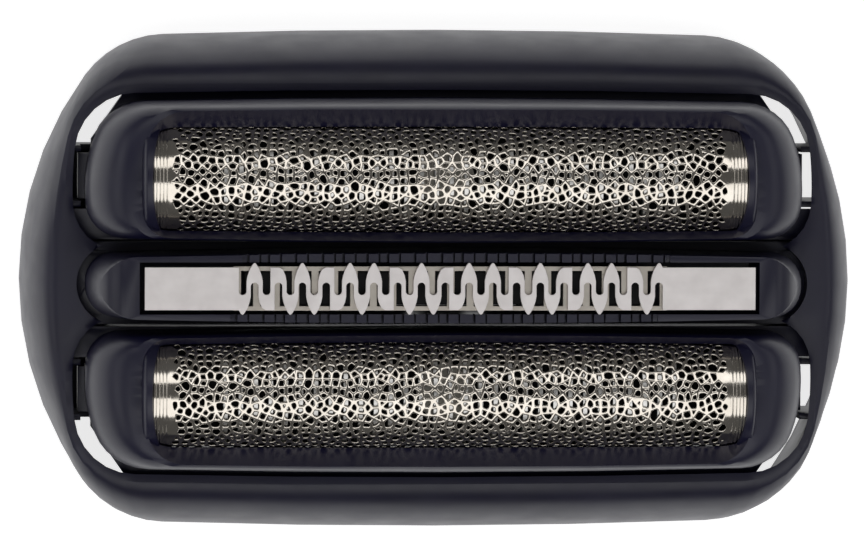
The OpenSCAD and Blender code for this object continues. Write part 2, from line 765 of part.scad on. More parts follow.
// Sliding bush with the socket for the drive pin, a flange for the spring and a collar as its stop
module drive_bush(side) {
    collar_z = carrier_bottom + boss_h + bush_fit;
    color(natural_white) at_side(side) translate([0, foil_y, 0]) difference() {
        union() {
            translate([0, 0, bush_z]) cylinder(r = bush_r, h = collar_z + collar_t - bush_z, $fn = round_fn);
            translate([0, 0, bush_z]) cylinder(r = bush_flange_r, h = bush_flange_t, $fn = round_fn);
            translate([0, 0, collar_z]) cylinder(r = collar_r, h = collar_t, $fn = round_fn);
        }
        translate([0, 0, bush_z - cut]) cylinder(r = socket_r, h = socket_depth + cut, $fn = round_fn);
    }
}

module cutter_spring(side) {
    color(spring_steel) translate([0, side * foil_y, bush_z + bush_flange_t]) {
        coil(cutter_spring_r, cutter_wire, carrier_bottom - bush_z - bush_flange_t, 5);
    }
}

module float_spring(x_side, y) {
    color(spring_steel) translate([x_side * spring_x, y, spring_seat_z]) {
        coil(float_spring_r, float_wire, float_spring_h, 6);
    }
}

// Outer surface of the trimmer's frame at a share of its rounding
function trimmer_ring(share, z) = outline(
    mix(trimmer_hl, trimmer_flat_hl, share),
    trimmer_w / 2 - trimmer_side_round * share,
    trimmer_w / 2 - trimmer_side_round * share,
    mix(trimmer_end_r, trimmer_top_end_r, share),
    frame_side_r,
    mix(trimmer_corner_r, trimmer_top_corner_r, share),
    mix(trimmer_corner_r, trimmer_top_corner_r, share),
    0, z);

// Places of the guards beside a row of teeth
function guards_x(teeth_x, kinds) = [for (k = [0:len(teeth_x) - 1])
    let (kind = kinds[k % len(kinds)])
    teeth_x[k] + (kind == "right" ? guard_shift : kind == "left" ? -guard_shift : 0)];

// What is cut from one side rail so that a guard stands beside each comb tooth
module guard_cuts(guards) {
    inner = trimmer_window_hw - foil_clear;
    outer = trimmer_w / 2 + cut;
    start = guards[0] - comb_pitch / 2;
    end = guards[len(guards) - 1] + comb_pitch / 2;
    difference() {
        block([start, inner, trimmer_top - guard_drop], [end, outer, trimmer_top + cut]);
        for (x = guards) {
            block([x - guard_w / 2, inner - cut, trimmer_top - cut],
                  [x + guard_w / 2, outer + cut, trimmer_top + 2 * cut]);
        }
    }
    for (x = guards) for (s = [-1, 1]) {
        translate([x + s * (guard_w + guard_notch) / 2 - guard_notch / 2, inner, trimmer_top - notch_depth]) {
            cube([guard_notch, outer - inner, notch_depth + cut]);
        }
    }
}

rear_teeth_x = [for (k = [0:comb_teeth - 1]) first_tooth + k * comb_pitch];
front_teeth_x = [for (x = rear_teeth_x) x - comb_pitch / 2];

// What the slope takes off the trimmer frame's end
module trimmer_end_cut() {
    slope_r = trimmer_slope / (sin(trimmer_slope_to) - sin(trimmer_slope_from));
    slope = [for (i = [0:band_steps]) let (t = mix(trimmer_slope_from, trimmer_slope_to, i / band_steps))
        [trimmer_flat_hl + slope_r * (sin(t) - sin(trimmer_slope_from)),
         trimmer_top - slope_r * (cos(trimmer_slope_from) - cos(t))]];
    last = slope[band_steps];
    hw = trimmer_w / 2 + cut;
    translate([0, hw, 0]) rotate([90, 0, 0]) linear_extrude(2 * hw) {
        polygon(concat(slope, [
            [last[0] + trimmer_band, last[1] - trimmer_band * tan(trimmer_slope_to)],
            [last[0] + trimmer_band, trimmer_top + cut], [trimmer_flat_hl, trimmer_top + cut]]));
    }
}

module trimmer_frame() {
    nose_z = trimmer_top - trimmer_nose_h;
    rings = concat(
        [trimmer_ring(0, trimmer_bottom)],
        [for (i = [0:band_steps]) let (u = i / band_steps)
            trimmer_ring(trimmer_top_share * pow(u, band_bulge), nose_z + trimmer_nose_h * u)]);
    floor_top = trimmer_floor_z + trimmer_floor_t;
    under_hw = trimmer_w / 2 - trimmer_pocket_wall;
    lug_top = rim_under - stop_gap;
    color(navy) difference() {
        union() {
            loft(rings);
            block([-trimmer_flange_hl, -trimmer_flange_hw, trimmer_bottom],
                  [trimmer_flange_hl, trimmer_flange_hw, trimmer_bottom + trimmer_flange_t]);
            for (x = [-1, 1]) scale([x, 1, 1]) {
                block([trimmer_flat_hl, -lug_w / 2, tongue_z], [lug_reach, lug_w / 2, lug_top]);
            }
        }
        for (x = [-1, 1]) scale([x, 1, 1]) trimmer_end_cut();
        block([-trimmer_window_hl, -trimmer_window_hw, floor_top],
              [trimmer_window_hl, trimmer_window_hw, trimmer_top + cut]);
        block([-trimmer_window_hl, -under_hw, trimmer_bottom - cut],
              [trimmer_window_hl, under_hw, trimmer_floor_z]);
        block([-tower_hl - blade_stroke - tower_gap, -leaf_hw, trimmer_floor_z - cut],
              [tower_hl + blade_stroke + tower_gap, leaf_hw, floor_top + cut]);
        guard_cuts(guards_x(rear_teeth_x, rear_kinds));
        mirror([0, 1, 0]) guard_cuts(guards_x(front_teeth_x, front_kinds));
    }
}

// Outline of one comb tooth that points to +Y, with its root across the middle line
module tooth_plan(kind) {
    right = kind == "point" ? point_shares : blunt_shares;
    curve = [for (p = right) [p[0] * tooth_hw, p[1] * comb_reach]];
    mirrored = [for (i = [1:len(curve)]) [-curve[len(curve) - i][0], curve[len(curve) - i][1]]];
    upright = [[-tooth_hw, blunt_reach_share * comb_reach]];
    flip = kind == "right" ? -1 : 1;
    points = concat([[tooth_hw, -tooth_root]], curve, kind == "point" ? mirrored : upright,
                    [[-tooth_hw, -tooth_root]]);
    scale([flip, 1]) difference() {
        polygon(points);
        translate([-comb_slot / 2, -comb_reach]) square([comb_slot, comb_reach + slot_end - comb_slot / 2]);
        translate([0, slot_end - comb_slot / 2]) circle(comb_slot / 2, $fn = 24);
    }
}

module comb_plan() {
    pad_in_left = front_teeth_x[0];
    pad_in_right = rear_teeth_x[comb_teeth - 1];
    for (k = [0:comb_teeth - 1]) {
        translate([rear_teeth_x[k], 0]) tooth_plan(rear_kinds[k % 5]);
        translate([front_teeth_x[k], 0]) scale([1, -1]) tooth_plan(front_kinds[k % 5]);
    }
    translate([-comb_len / 2, -comb_w / 2]) square([comb_len / 2 + pad_in_left - comb_slot / 2, comb_w]);
    translate([pad_in_right + comb_slot / 2, -comb_w / 2]) {
        square([comb_len / 2 - pad_in_right - comb_slot / 2, comb_w]);
    }
}

module trimmer_comb() {
    color(steel) translate([0, 0, comb_under]) linear_extrude(comb_t) comb_plan();
}

rung_count = 2 * floor((slider_hl + comb_pitch) / rung_pitch) + 1;
blade_hl = (rung_count - 1) / 2 * rung_pitch + rung_w / 2;

module trimmer_blade() {
    color(steel) translate([0, 0, blade_z]) linear_extrude(blade_t) {
        for (s = [-1, 1]) translate([0, s * (blade_rail_in + blade_rail_out) / 2]) {
            square([2 * blade_hl, blade_rail_out - blade_rail_in], center = true);
        }
        for (i = [0:rung_count - 1]) {
            translate([(i - (rung_count - 1) / 2) * rung_pitch - rung_w / 2, -blade_rail_in]) {
                square([rung_w, 2 * blade_rail_in]);
            }
        }
    }
}

// Slider that carries the moving blade, with a forked tower for the drive
module trimmer_slider() {
    color(soft_black) difference() {
        union() {
            block([-slider_hl, -slider_hw, blade_z - slider_t], [slider_hl, slider_hw, blade_z]);
            block([-tower_hl, -tower_hw, tower_z], [tower_hl, tower_hw, blade_z - slider_t]);
        }
        block([-drive_slot / 2, -tower_hw - cut, tower_z - cut],
              [drive_slot / 2, tower_hw + cut, tower_z + drive_slot_depth]);
    }
}

// Bowed strip that presses the slider against the comb
module trimmer_leaf_spring() {
    foot_z = trimmer_floor_z + trimmer_floor_t + leaf_gap;
    crest_z = blade_z - slider_t - leaf_gap - leaf_t;
    foot = leaf_hl / 6;
    half = [[leaf_hl, foot_z], [leaf_hl - foot, foot_z], [leaf_crest_hl, crest_z]];
    lower = concat(half, [for (i = [1:3]) [-half[3 - i][0], half[3 - i][1]]]);
    upper = [for (i = [1:6]) lower[6 - i] + [0, leaf_t]];
    color(spring_steel) difference() {
        rotate([90, 0, 0]) translate([0, 0, -leaf_hw]) linear_extrude(2 * leaf_hw) {
            polygon(concat(lower, upper));
        }
        block([-tower_hl - blade_stroke - tower_gap, -tower_hw - tower_gap, foot_z - cut],
              [tower_hl + blade_stroke + tower_gap, tower_hw + tower_gap, crest_z + 2 * cut]);
    }
}

outer_frame();
foil_frame(1);  // foil_frame_rear
foil_frame(-1);  // foil_frame_front
foil(1);  // foil_rear
foil(-1);  // foil_front
foil_holder(1);  // foil_holder_rear
foil_holder(-1);  // foil_holder_front
cutter_carrier(1);  // cutter_carrier_rear
cutter_carrier(-1);  // cutter_carrier_front
cutter_blades(1);  // cutter_blades_rear
cutter_blades(-1);  // cutter_blades_front
drive_bush(1);  // drive_bush_rear
drive_bush(-1);  // drive_bush_front
cutter_spring(1);  // cutter_spring_rear
cutter_spring(-1);  // cutter_spring_front
float_spring(-1, tongue_y);  // float_spring_rear_left
float_spring(1, tongue_y);  // float_spring_rear_right
float_spring(-1, -tongue_y);  // float_spring_front_left
float_spring(1, -tongue_y);  // float_spring_front_right
trimmer_frame();
trimmer_comb();
trimmer_blade();
trimmer_slider();
trimmer_leaf_spring();
float_spring(-1, 0);  // trimmer_spring_left
float_spring(1, 0);  // trimmer_spring_right
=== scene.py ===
"""Looks of a shaver foil head: satin mouldings, fine foil webs, ground steel, coil springs, light and camera.

Everything is in metres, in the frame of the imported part: X along the foils, Z up out of them.
"""

import json
import math
import random

import bmesh
import bpy
from mathutils import Matrix, Vector


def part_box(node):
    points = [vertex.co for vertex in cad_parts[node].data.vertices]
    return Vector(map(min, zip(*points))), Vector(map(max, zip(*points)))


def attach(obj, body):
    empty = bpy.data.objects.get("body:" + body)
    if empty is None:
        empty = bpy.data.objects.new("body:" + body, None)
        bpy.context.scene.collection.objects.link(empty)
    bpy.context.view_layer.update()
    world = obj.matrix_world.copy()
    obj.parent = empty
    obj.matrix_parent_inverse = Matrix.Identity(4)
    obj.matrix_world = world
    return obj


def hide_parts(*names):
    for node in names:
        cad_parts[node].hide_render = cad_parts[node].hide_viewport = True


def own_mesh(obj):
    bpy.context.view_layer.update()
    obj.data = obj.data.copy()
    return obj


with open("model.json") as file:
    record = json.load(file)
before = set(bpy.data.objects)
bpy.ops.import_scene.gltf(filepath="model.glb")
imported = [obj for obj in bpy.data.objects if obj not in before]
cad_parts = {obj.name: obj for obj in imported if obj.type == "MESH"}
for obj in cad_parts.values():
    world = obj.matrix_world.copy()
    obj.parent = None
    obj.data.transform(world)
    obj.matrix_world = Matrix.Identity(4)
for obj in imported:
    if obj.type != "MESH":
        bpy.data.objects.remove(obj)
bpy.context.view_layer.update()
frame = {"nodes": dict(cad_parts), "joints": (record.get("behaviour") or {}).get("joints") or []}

MM = 0.001
SIDES = ("rear", "front")
ENDS = ("left", "right")


# Materials


# Noise stays near the middle of 0 to 1, so only this part of it is spread over a range
NOISE_LOW, NOISE_HIGH = 0.3, 0.7
BEVEL_SAMPLES = 6
# Features per metre
MOTTLE_SCALE = 260
HANDLING_SCALE = 420
GRAIN_SCALE = 9000
METAL_MOTTLE_SCALE = 700
GRAIN_HEIGHT = 0.0015 * MM
PLASTIC_IOR = 1.5
# Pieces deep inside hardly mirror the white table
INNER_SPECULAR = 0.2


def new_material(name):
    """An empty node material with its shader and output joined."""
    material = bpy.data.materials.new(name)
    material.use_nodes = True
    tree = material.node_tree
    tree.nodes.clear()
    shader = tree.nodes.new("ShaderNodeBsdfPrincipled")
    output = tree.nodes.new("ShaderNodeOutputMaterial")
    tree.links.new(shader.outputs["BSDF"], output.inputs["Surface"])
    return material, tree, shader


def noise(tree, scale, detail=2.0, stretch=None):
    """Noise in the object's coordinates: scale in features per metre, stretch multiplies it along X, Y, Z."""
    place = tree.nodes.new("ShaderNodeTexCoord")
    texture = tree.nodes.new("ShaderNodeTexNoise")
    texture.inputs["Scale"].default_value = scale
    texture.inputs["Detail"].default_value = detail
    if stretch:
        mapping = tree.nodes.new("ShaderNodeMapping")
        mapping.inputs["Scale"].default_value = stretch
        tree.links.new(place.outputs["Object"], mapping.inputs["Vector"])
        tree.links.new(mapping.outputs["Vector"], texture.inputs["Vector"])
    else:
        tree.links.new(place.outputs["Object"], texture.inputs["Vector"])
    return texture.outputs["Fac"]


def spread(tree, value, low, high):
    """Maps a noise value to the range from low to high."""
    node = tree.nodes.new("ShaderNodeMapRange")
    node.inputs["From Min"].default_value = NOISE_LOW
    node.inputs["From Max"].default_value = NOISE_HIGH
    node.inputs["To Min"].default_value = low
    node.inputs["To Max"].default_value = high
    tree.links.new(value, node.inputs["Value"])
    return node.outputs["Result"]


def two_tone(tree, value, dark, light):
    """Mixes two colours by a noise value."""
    ramp = tree.nodes.new("ShaderNodeValToRGB")
    ramp.color_ramp.elements[0].position = NOISE_LOW
    ramp.color_ramp.elements[0].color = (*dark, 1)
    ramp.color_ramp.elements[1].position = NOISE_HIGH
    ramp.color_ramp.elements[1].color = (*light, 1)
    tree.links.new(value, ramp.inputs["Fac"])
    return ramp.outputs["Color"]


def bump(tree, shader, value, height, rounding=0.0):
    """Raises the surface by a height map in metres; rounding softens the edges as seen."""
    node = tree.nodes.new("ShaderNodeBump")
    node.inputs["Strength"].default_value = 1.0
    node.inputs["Distance"].default_value = height
    tree.links.new(value, node.inputs["Height"])
    if rounding:
        bevel = tree.nodes.new("ShaderNodeBevel")
        bevel.samples = BEVEL_SAMPLES
        bevel.inputs["Radius"].default_value = rounding
        tree.links.new(bevel.outputs["Normal"], node.inputs["Normal"])
    tree.links.new(node.outputs["Normal"], shader.inputs["Normal"])


def moulded_plastic(name, dark, light, rough):
    """Satin moulding with a fine eroded grain and faint changes of gloss from handling."""
    material, tree, shader = new_material(name)
    tree.links.new(two_tone(tree, noise(tree, MOTTLE_SCALE), dark, light), shader.inputs["Base Color"])
    tree.links.new(spread(tree, noise(tree, HANDLING_SCALE, 3), *rough), shader.inputs["Roughness"])
    shader.inputs["IOR"].default_value = PLASTIC_IOR
    bump(tree, shader, noise(tree, GRAIN_SCALE, 1), GRAIN_HEIGHT)
    return material


def ground_metal(name, dark, light, rough, line, depth, stretch, rounding=0.0):
    """Metal with fine lines along one direction."""
    material, tree, shader = new_material(name)
    lines = noise(tree, line, 2, stretch)
    tree.links.new(two_tone(tree, noise(tree, METAL_MOTTLE_SCALE), dark, light), shader.inputs["Base Color"])
    tree.links.new(spread(tree, lines, *rough), shader.inputs["Roughness"])
    shader.inputs["Metallic"].default_value = 1.0
    bump(tree, shader, lines, depth, rounding)
    return material


navy = moulded_plastic("navy_satin", (0.0046, 0.0041, 0.0190), (0.0060, 0.0053, 0.0235), (0.38, 0.46))
frame_navy = moulded_plastic("frame_satin", (0.0046, 0.0043, 0.0205), (0.0060, 0.0055, 0.0250), (0.34, 0.42))
trimmer_navy = moulded_plastic("trimmer_satin", (0.0044, 0.0040, 0.0180), (0.0058, 0.0053, 0.0225),
                               (0.34, 0.42))
inner_black = moulded_plastic("inner_black", (0.0028, 0.0028, 0.0032), (0.0045, 0.0045, 0.0050), (0.60, 0.70))
inner_shader = inner_black.node_tree.nodes["Principled BSDF"]
inner_shader.inputs["Specular IOR Level"].default_value = INNER_SPECULAR
natural_white = moulded_plastic("natural_white", (0.62, 0.58, 0.50), (0.70, 0.66, 0.58), (0.35, 0.42))
foil_nickel = ground_metal("foil_nickel", (0.62, 0.57, 0.50), (0.72, 0.67, 0.60), (0.10, 0.16),
                           2500, 0.0002 * MM, (1, 1, 1))
lamella_steel = ground_metal("lamella_steel", (0.55, 0.54, 0.52), (0.66, 0.65, 0.63), (0.26, 0.38),
                             4000, 0.0004 * MM, (6, 1, 1), 0.03 * MM)
comb_steel = ground_metal("comb_steel", (0.76, 0.72, 0.71), (0.86, 0.82, 0.81), (0.42, 0.52),
                          3000, 0.0006 * MM, (0.25, 1.6, 1), 0.05 * MM)
blade_steel = ground_metal("blade_steel", (0.50, 0.46, 0.41), (0.58, 0.54, 0.48), (0.28, 0.40),
                           3000, 0.0005 * MM, (1, 4, 1), 0.06 * MM)
spring_wire = ground_metal("spring_wire", (0.40, 0.40, 0.41), (0.52, 0.52, 0.53), (0.24, 0.34),
                           3000, 0.0003 * MM, (1, 1, 3))


# Pieces


# Angles in degrees above which an edge is drawn sharp
PLATE_SHARP = 35
MOULDING_SHARP = 32
WEB_SHARP = 50
COIL_SHARP = 60

WELD_DISTANCE = 0.002 * MM
FLAT_ANGLE = math.radians(0.6)
EDGE_SEGMENTS = 2
HOUSING_EDGE = 0.07 * MM
FRAME_EDGE = 0.06 * MM
TRIMMER_EDGE = 0.04 * MM

LIP_LEVEL = 10.15 * MM
LIP_MARGIN = 0.03 * MM
LIP_LIFT = 0.35 * MM

TIP_DEPTH = 0.42 * MM
TIP_PITCH = 0.6 * MM
TIP_SHARPNESS = 0.4
TIP_TOLERANCE = TIP_DEPTH / 8
WIDEST_TOOTH = 3 * TIP_PITCH


def add_piece(name, mesh, material, body, replaced, sharp):
    """A piece of the object that rides on a body and stands for CAD nodes."""
    piece = bpy.data.objects.new(name, mesh)
    bpy.context.scene.collection.objects.link(piece)
    mesh.materials.clear()
    mesh.materials.append(material)
    mesh.shade_smooth()
    mesh.set_sharp_from_angle(angle=math.radians(sharp))
    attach(piece, body)
    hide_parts(*replaced)
    return piece


def smooth_moulding(node, body, material, edge, reshape=None):
    """The node's own shape as one welded skin, with small rounded edges and smooth curves."""
    welded = bmesh.new()
    welded.from_mesh(frame["nodes"][node].data)
    bmesh.ops.remove_doubles(welded, verts=welded.verts, dist=WELD_DISTANCE)
    bmesh.ops.dissolve_limit(welded, angle_limit=FLAT_ANGLE, verts=welded.verts, edges=welded.edges)
    if reshape:
        reshape(welded)
    bmesh.ops.triangulate(welded, faces=[face for face in welded.faces if len(face.verts) > 4])
    mesh = bpy.data.meshes.new(node + "_skin")
    welded.to_mesh(mesh)
    welded.free()
    piece = add_piece(node + "_skin", mesh, material, body, [node], MOULDING_SHARP)
    rounded = piece.modifiers.new("rounded_edges", "BEVEL")
    rounded.width = edge
    rounded.segments = EDGE_SEGMENTS
    rounded.limit_method = "ANGLE"
    rounded.angle_limit = math.radians(MOULDING_SHARP)
    rounded.use_clamp_overlap = True
    rounded.harden_normals = True


def flatten_lip(mesh):
    """Lifts the inner edge of the housing's lip, which is nearly flat."""
    for vert in mesh.verts:
        if LIP_LEVEL - LIP_MARGIN < vert.co.z < LIP_LEVEL + LIP_MARGIN:
            vert.co.z += LIP_LIFT


def coat(node, material):
    """Gives a CAD node that keeps its own mesh its finish."""
    slots = frame["nodes"][node].data.materials
    slots.clear()
    slots.append(material)


def pointed_comb(node):
    """The comb's own mesh with the round ends of its teeth drawn to points."""
    mesh = frame["nodes"][node].data.copy()
    front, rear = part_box(node)[0][1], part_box(node)[1][1]
    for end, way in ((rear, 1), (front, -1)):
        tips = sorted((v for v in mesh.vertices if (end - v.co.y) * way < TIP_DEPTH), key=lambda v: v.co.x)
        teeth = []
        for vert in tips:
            if teeth and vert.co.x - teeth[-1][-1].co.x < TIP_PITCH:
                teeth[-1].append(vert)
            else:
                teeth.append([vert])
        for tooth in teeth:
            left, right = tooth[0].co.x, tooth[-1].co.x
            reach = max((v.co.y * way for v in tooth))
            if right - left > WIDEST_TOOTH or abs(reach - end * way) > TIP_TOLERANCE:
                continue
            centre = (left + right) / 2
            for vert in tooth:
                share = 1 - (end - vert.co.y) * way / TIP_DEPTH
                vert.co.x = centre + (vert.co.x - centre) * (1 - TIP_SHARPNESS * share)
    return mesh


# Foils


HOLE_PITCH = 0.575 * MM
CENTRE_SHIFT = 0.15 * HOLE_PITCH
BAR = 0.195 * MM
FOIL_SHEET = 0.06 * MM
PERFORATED_HALF = 19.1 * MM
PERFORATED_ANGLE = math.radians(74)
# How the web's cells are made: centres that drift to their cells' middles, and short bars that close up
CENTRE_ROUNDS = 2
CENTRE_DRIFT = 0.3
MERGED_SHARE = 0.30
EVENING_ROUNDS = 20
EVENING_STEP = 0.5
SIZE_POWER = 0.4
WEB_SEEDS = {"rear": 11, "front": 23}
# How far a hole's rim and wall lie inside the cell's outline, and how deep the rim's slope goes
RIM_MARGIN = BAR * 0.34
WALL_MARGIN = BAR * 0.5
RIM_DEPTH = FOIL_SHEET * 0.45
# A cell with a corner sharper than this gets no hole, one too small for its margin a hole of this share
SHARPEST_CORNER = 0.35
SMALLEST_HOLE = 0.42
CORNER_STEPS = 3
CORNER_CUT = 0.34
SLIVER = FOIL_SHEET / 10
END_ARCS = 48
LOWER_ARCS = 6
STRIP_GROOVES = 6
GROOVE_PITCH = 0.235 * MM
GROOVE_DEPTH = 0.02 * MM
# Places along one groove's pitch, and how deep the groove is there, as shares
GROOVE_SHARES = ((0.0, 0.0), (0.76, 0.0), (0.82, 0.7), (0.88, 1.0), (0.94, 0.7))


def web_graph(rng, half_len, half_arc):
    """Cells round shifted centres, with the shortest bars closed to stars.

    Gives the place of each node, and the nodes of each cell in order.
    """
    row_step = HOLE_PITCH * math.sqrt(3) / 2
    reach = HOLE_PITCH / math.sqrt(3)
    columns = math.ceil(half_len / HOLE_PITCH) + 1
    rows = math.ceil(half_arc / row_step) + 1
    places, index, cells, centres = [], {}, [], []

    def corner(x, y):
        key = (round(x / HOLE_PITCH * 6), round(y / row_step * 6))
        if key not in index:
            index[key] = len(places)
            places.append([x, y])
        return index[key]

    for row in range(-rows, rows + 1):
        for column in range(-columns, columns + 1):
            x = (column + (row % 2) / 2) * HOLE_PITCH
            y = row * row_step
            turn = rng.uniform(0, 2 * math.pi)
            centres.append((x + CENTRE_SHIFT * math.cos(turn), y + CENTRE_SHIFT * math.sin(turn)))
            cells.append([corner(x + reach * math.sin(math.radians(60 * k)),
                                 y + reach * math.cos(math.radians(60 * k))) for k in range(6)])
    cells_of = {i: set() for i in range(len(places))}
    for number, cell in enumerate(cells):
        for i in cell:
            cells_of[i].add(number)

    def meeting(i):
        """The point as far from each of the three centres round a node."""
        near = sorted(cells_of[i])
        if len(near) < 3:
            return places[i]
        (ax, ay), (bx, by), (cx, cy) = (centres[n] for n in near)
        twice = 2 * (ax * (by - cy) + bx * (cy - ay) + cx * (ay - by))
        a2, b2, c2 = ax * ax + ay * ay, bx * bx + by * by, cx * cx + cy * cy
        return [(a2 * (by - cy) + b2 * (cy - ay) + c2 * (ay - by)) / twice,
                (a2 * (cx - bx) + b2 * (ax - cx) + c2 * (bx - ax)) / twice]

    for _ in range(CENTRE_ROUNDS):
        spots = [meeting(i) for i in range(len(places))]
        centres = [tuple((1 - CENTRE_DRIFT) * centre[k] + CENTRE_DRIFT * sum(spots[i][k] for i in cell) / 6
                         for k in (0, 1))
                   for centre, cell in zip(centres, cells)]
    spots = [meeting(i) for i in range(len(places))]

    def bar_length(edge):
        """Length of a bar, below nothing where its ends have passed each other."""
        a, b = edge
        way = [places[b][k] - places[a][k] for k in (0, 1)]
        return sum((spots[b][k] - spots[a][k]) * way[k] for k in (0, 1)) / math.hypot(*way)

    edges = sorted({tuple(sorted((cell[k], cell[(k + 1) % 6]))) for cell in cells for k in range(6)})
    leader = list(range(len(places)))
    members = {i: [i] for i in leader}
    sides = [6] * len(cells)
    merges = int(len(edges) * MERGED_SHARE)
    for a, b in sorted(edges, key=bar_length):
        a, b = leader[a], leader[b]
        if merges == 0:
            break
        shared = cells_of[a] & cells_of[b]
        if a == b or len(members[a]) + len(members[b]) > 3 or len(shared) != 2:
            continue
        if any(sides[n] < 4 for n in shared):
            continue
        for n in shared:
            sides[n] -= 1
        for i in members[b]:
            leader[i] = a
        members[a] += members.pop(b)
        cells_of[a] |= cells_of.pop(b)
        merges -= 1
    middle = {a: [sum(spots[i][k] for i in group) / len(group) for k in (0, 1)]
              for a, group in members.items()}
    outlines = []
    for cell in cells:
        loop = [leader[i] for i in cell]
        outlines.append([i for k, i in enumerate(loop) if i != loop[k - 1]])
    for _ in range(EVENING_ROUNDS):
        even_out(middle, outlines)
    return middle, outlines


def even_out(middle, outlines):
    """Moves each node a little towards the corners of regular cells of nearly one size."""
    area = HOLE_PITCH * HOLE_PITCH * math.sqrt(3) / 2
    mean = sum(len(loop) for loop in outlines) / len(outlines)
    push = {a: [0.0, 0.0, 0] for a in middle}
    for loop in outlines:
        n = len(loop)
        cx = sum(middle[a][0] for a in loop) / n
        cy = sum(middle[a][1] for a in loop) / n
        radius = math.sqrt(2 * area * (n / mean) ** SIZE_POWER / (n * math.sin(2 * math.pi / n)))
        turns = [math.atan2(middle[a][1] - cy, middle[a][0] - cx) + 2 * math.pi * k / n
                 for k, a in enumerate(loop)]
        first = math.atan2(sum(math.sin(t) for t in turns), sum(math.cos(t) for t in turns))
        for k, a in enumerate(loop):
            t = first - 2 * math.pi * k / n
            push[a][0] += cx + radius * math.cos(t) - middle[a][0]
            push[a][1] += cy + radius * math.sin(t) - middle[a][1]
            push[a][2] += 1
    for a, (dx, dy, n) in push.items():
        if n > 2:
            middle[a][0] += EVENING_STEP * dx / n
            middle[a][1] += EVENING_STEP * dy / n


def rounded_hole(corners, margin):
    """A cell's outline moved in by a margin, with each corner cut round, or None if a corner folds."""
    n = len(corners)
    centre = sum(corners, Vector((0, 0))) / n
    inner = []
    for k in range(n):
        before, here, after = corners[k - 1], corners[k], corners[(k + 1) % n]
        one, two = (here - before).normalized(), (after - here).normalized()
        normals = (Vector((one.y, -one.x)), Vector((two.y, -two.x)))
        half = (normals[0] + normals[1]) / 2
        if half.length < SHARPEST_CORNER:
            return None
        inner.append(here + half / half.length_squared * margin)
    if any((inner[k] - inner[k - 1]).dot(corners[k] - corners[k - 1]) <= 0 for k in range(n)):
        inner = [centre + (c - centre) * SMALLEST_HOLE for c in corners]
    loop = []
    for k in range(n):
        before, here, after = inner[k - 1], inner[k], inner[(k + 1) % n]
        start, end = here.lerp(before, CORNER_CUT), here.lerp(after, CORNER_CUT)
        arc = []
        for i in range(CORNER_STEPS):
            t = i / (CORNER_STEPS - 1)
            arc.append(start.lerp(here, t).lerp(here.lerp(end, t), t))
        loop.append(arc)
    return loop


def foil_mesh(node, seed):
    """The arched foil: a web of rounded holes over the crown, ridged strips at the ends and plain legs."""
    rng = random.Random(seed)
    low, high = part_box(node)
    radius = (high.y - low.y) / 2
    middle_y, axis_z = (high.y + low.y) / 2, high.z - radius
    half_len, leg = high.x, axis_z - low.z
    limit = PERFORATED_ANGLE * radius

    def on_arch(u, v, depth=0.0):
        angle = v / radius
        r = radius - depth
        return Vector((u, middle_y + r * math.sin(angle), axis_z + r * math.cos(angle)))

    bm = bmesh.new()
    middle, outlines = web_graph(rng, PERFORATED_HALF, limit)
    held = {a: Vector((max(-PERFORATED_HALF, min(PERFORATED_HALF, p[0])), max(-limit, min(limit, p[1]))))
            for a, p in middle.items()}
    top = {a: bm.verts.new(on_arch(*p)) for a, p in held.items()}
    under = {a: bm.verts.new(on_arch(*p, FOIL_SHEET)) for a, p in held.items()}
    for loop in outlines:
        if len(loop) < 3:
            continue
        corners = [held[a] for a in loop]
        if any(max(c[k] for c in corners) - min(c[k] for c in corners) < SLIVER for k in (0, 1)):
            continue
        turned = sum(before.x * here.y - here.x * before.y
                     for before, here in zip(corners[-1:] + corners, corners))
        if turned > 0:
            loop, corners = loop[::-1], corners[::-1]
        whole = all(abs(middle[a][0]) < PERFORATED_HALF and abs(middle[a][1]) < limit for a in loop)
        rim = rounded_hole(corners, RIM_MARGIN) if whole else None
        wall = rounded_hole(corners, WALL_MARGIN) if whole else None
        if not rim or not wall:
            bm.faces.new([top[a] for a in loop][::-1])
            bm.faces.new([under[a] for a in loop])
            continue
        levels = []
        for arcs, depth in ((rim, 0.0), (wall, RIM_DEPTH), (wall, FOIL_SHEET)):
            levels.append([[bm.verts.new(on_arch(p.x, p.y, depth)) for p in arc] for arc in arcs])
        n = len(loop)
        for k in range(n):
            j = (k + 1) % n
            for verts, flip in ((top, True), (under, False)):
                ring = levels[0] if flip else levels[2]
                for i in range(len(ring[k]) - 1):
                    face = [verts[loop[k]], ring[k][i], ring[k][i + 1]]
                    bm.faces.new(face[::-1] if not flip else face)
                face = [verts[loop[k]], ring[k][-1], ring[j][0], verts[loop[j]]]
                bm.faces.new(face[::-1] if not flip else face)
        for upper, lower in zip(levels, levels[1:]):
            a = [v for arc in upper for v in arc]
            b = [v for arc in lower for v in arc]
            for i in range(len(a)):
                j = (i + 1) % len(a)
                bm.faces.new([a[i], b[i], b[j], a[j]])
    add_plain_foil(bm, on_arch, radius, half_len, leg, limit)
    bmesh.ops.recalc_face_normals(bm, faces=bm.faces)
    mesh = bpy.data.meshes.new(node + "_web")
    bm.to_mesh(mesh)
    bm.free()
    return mesh


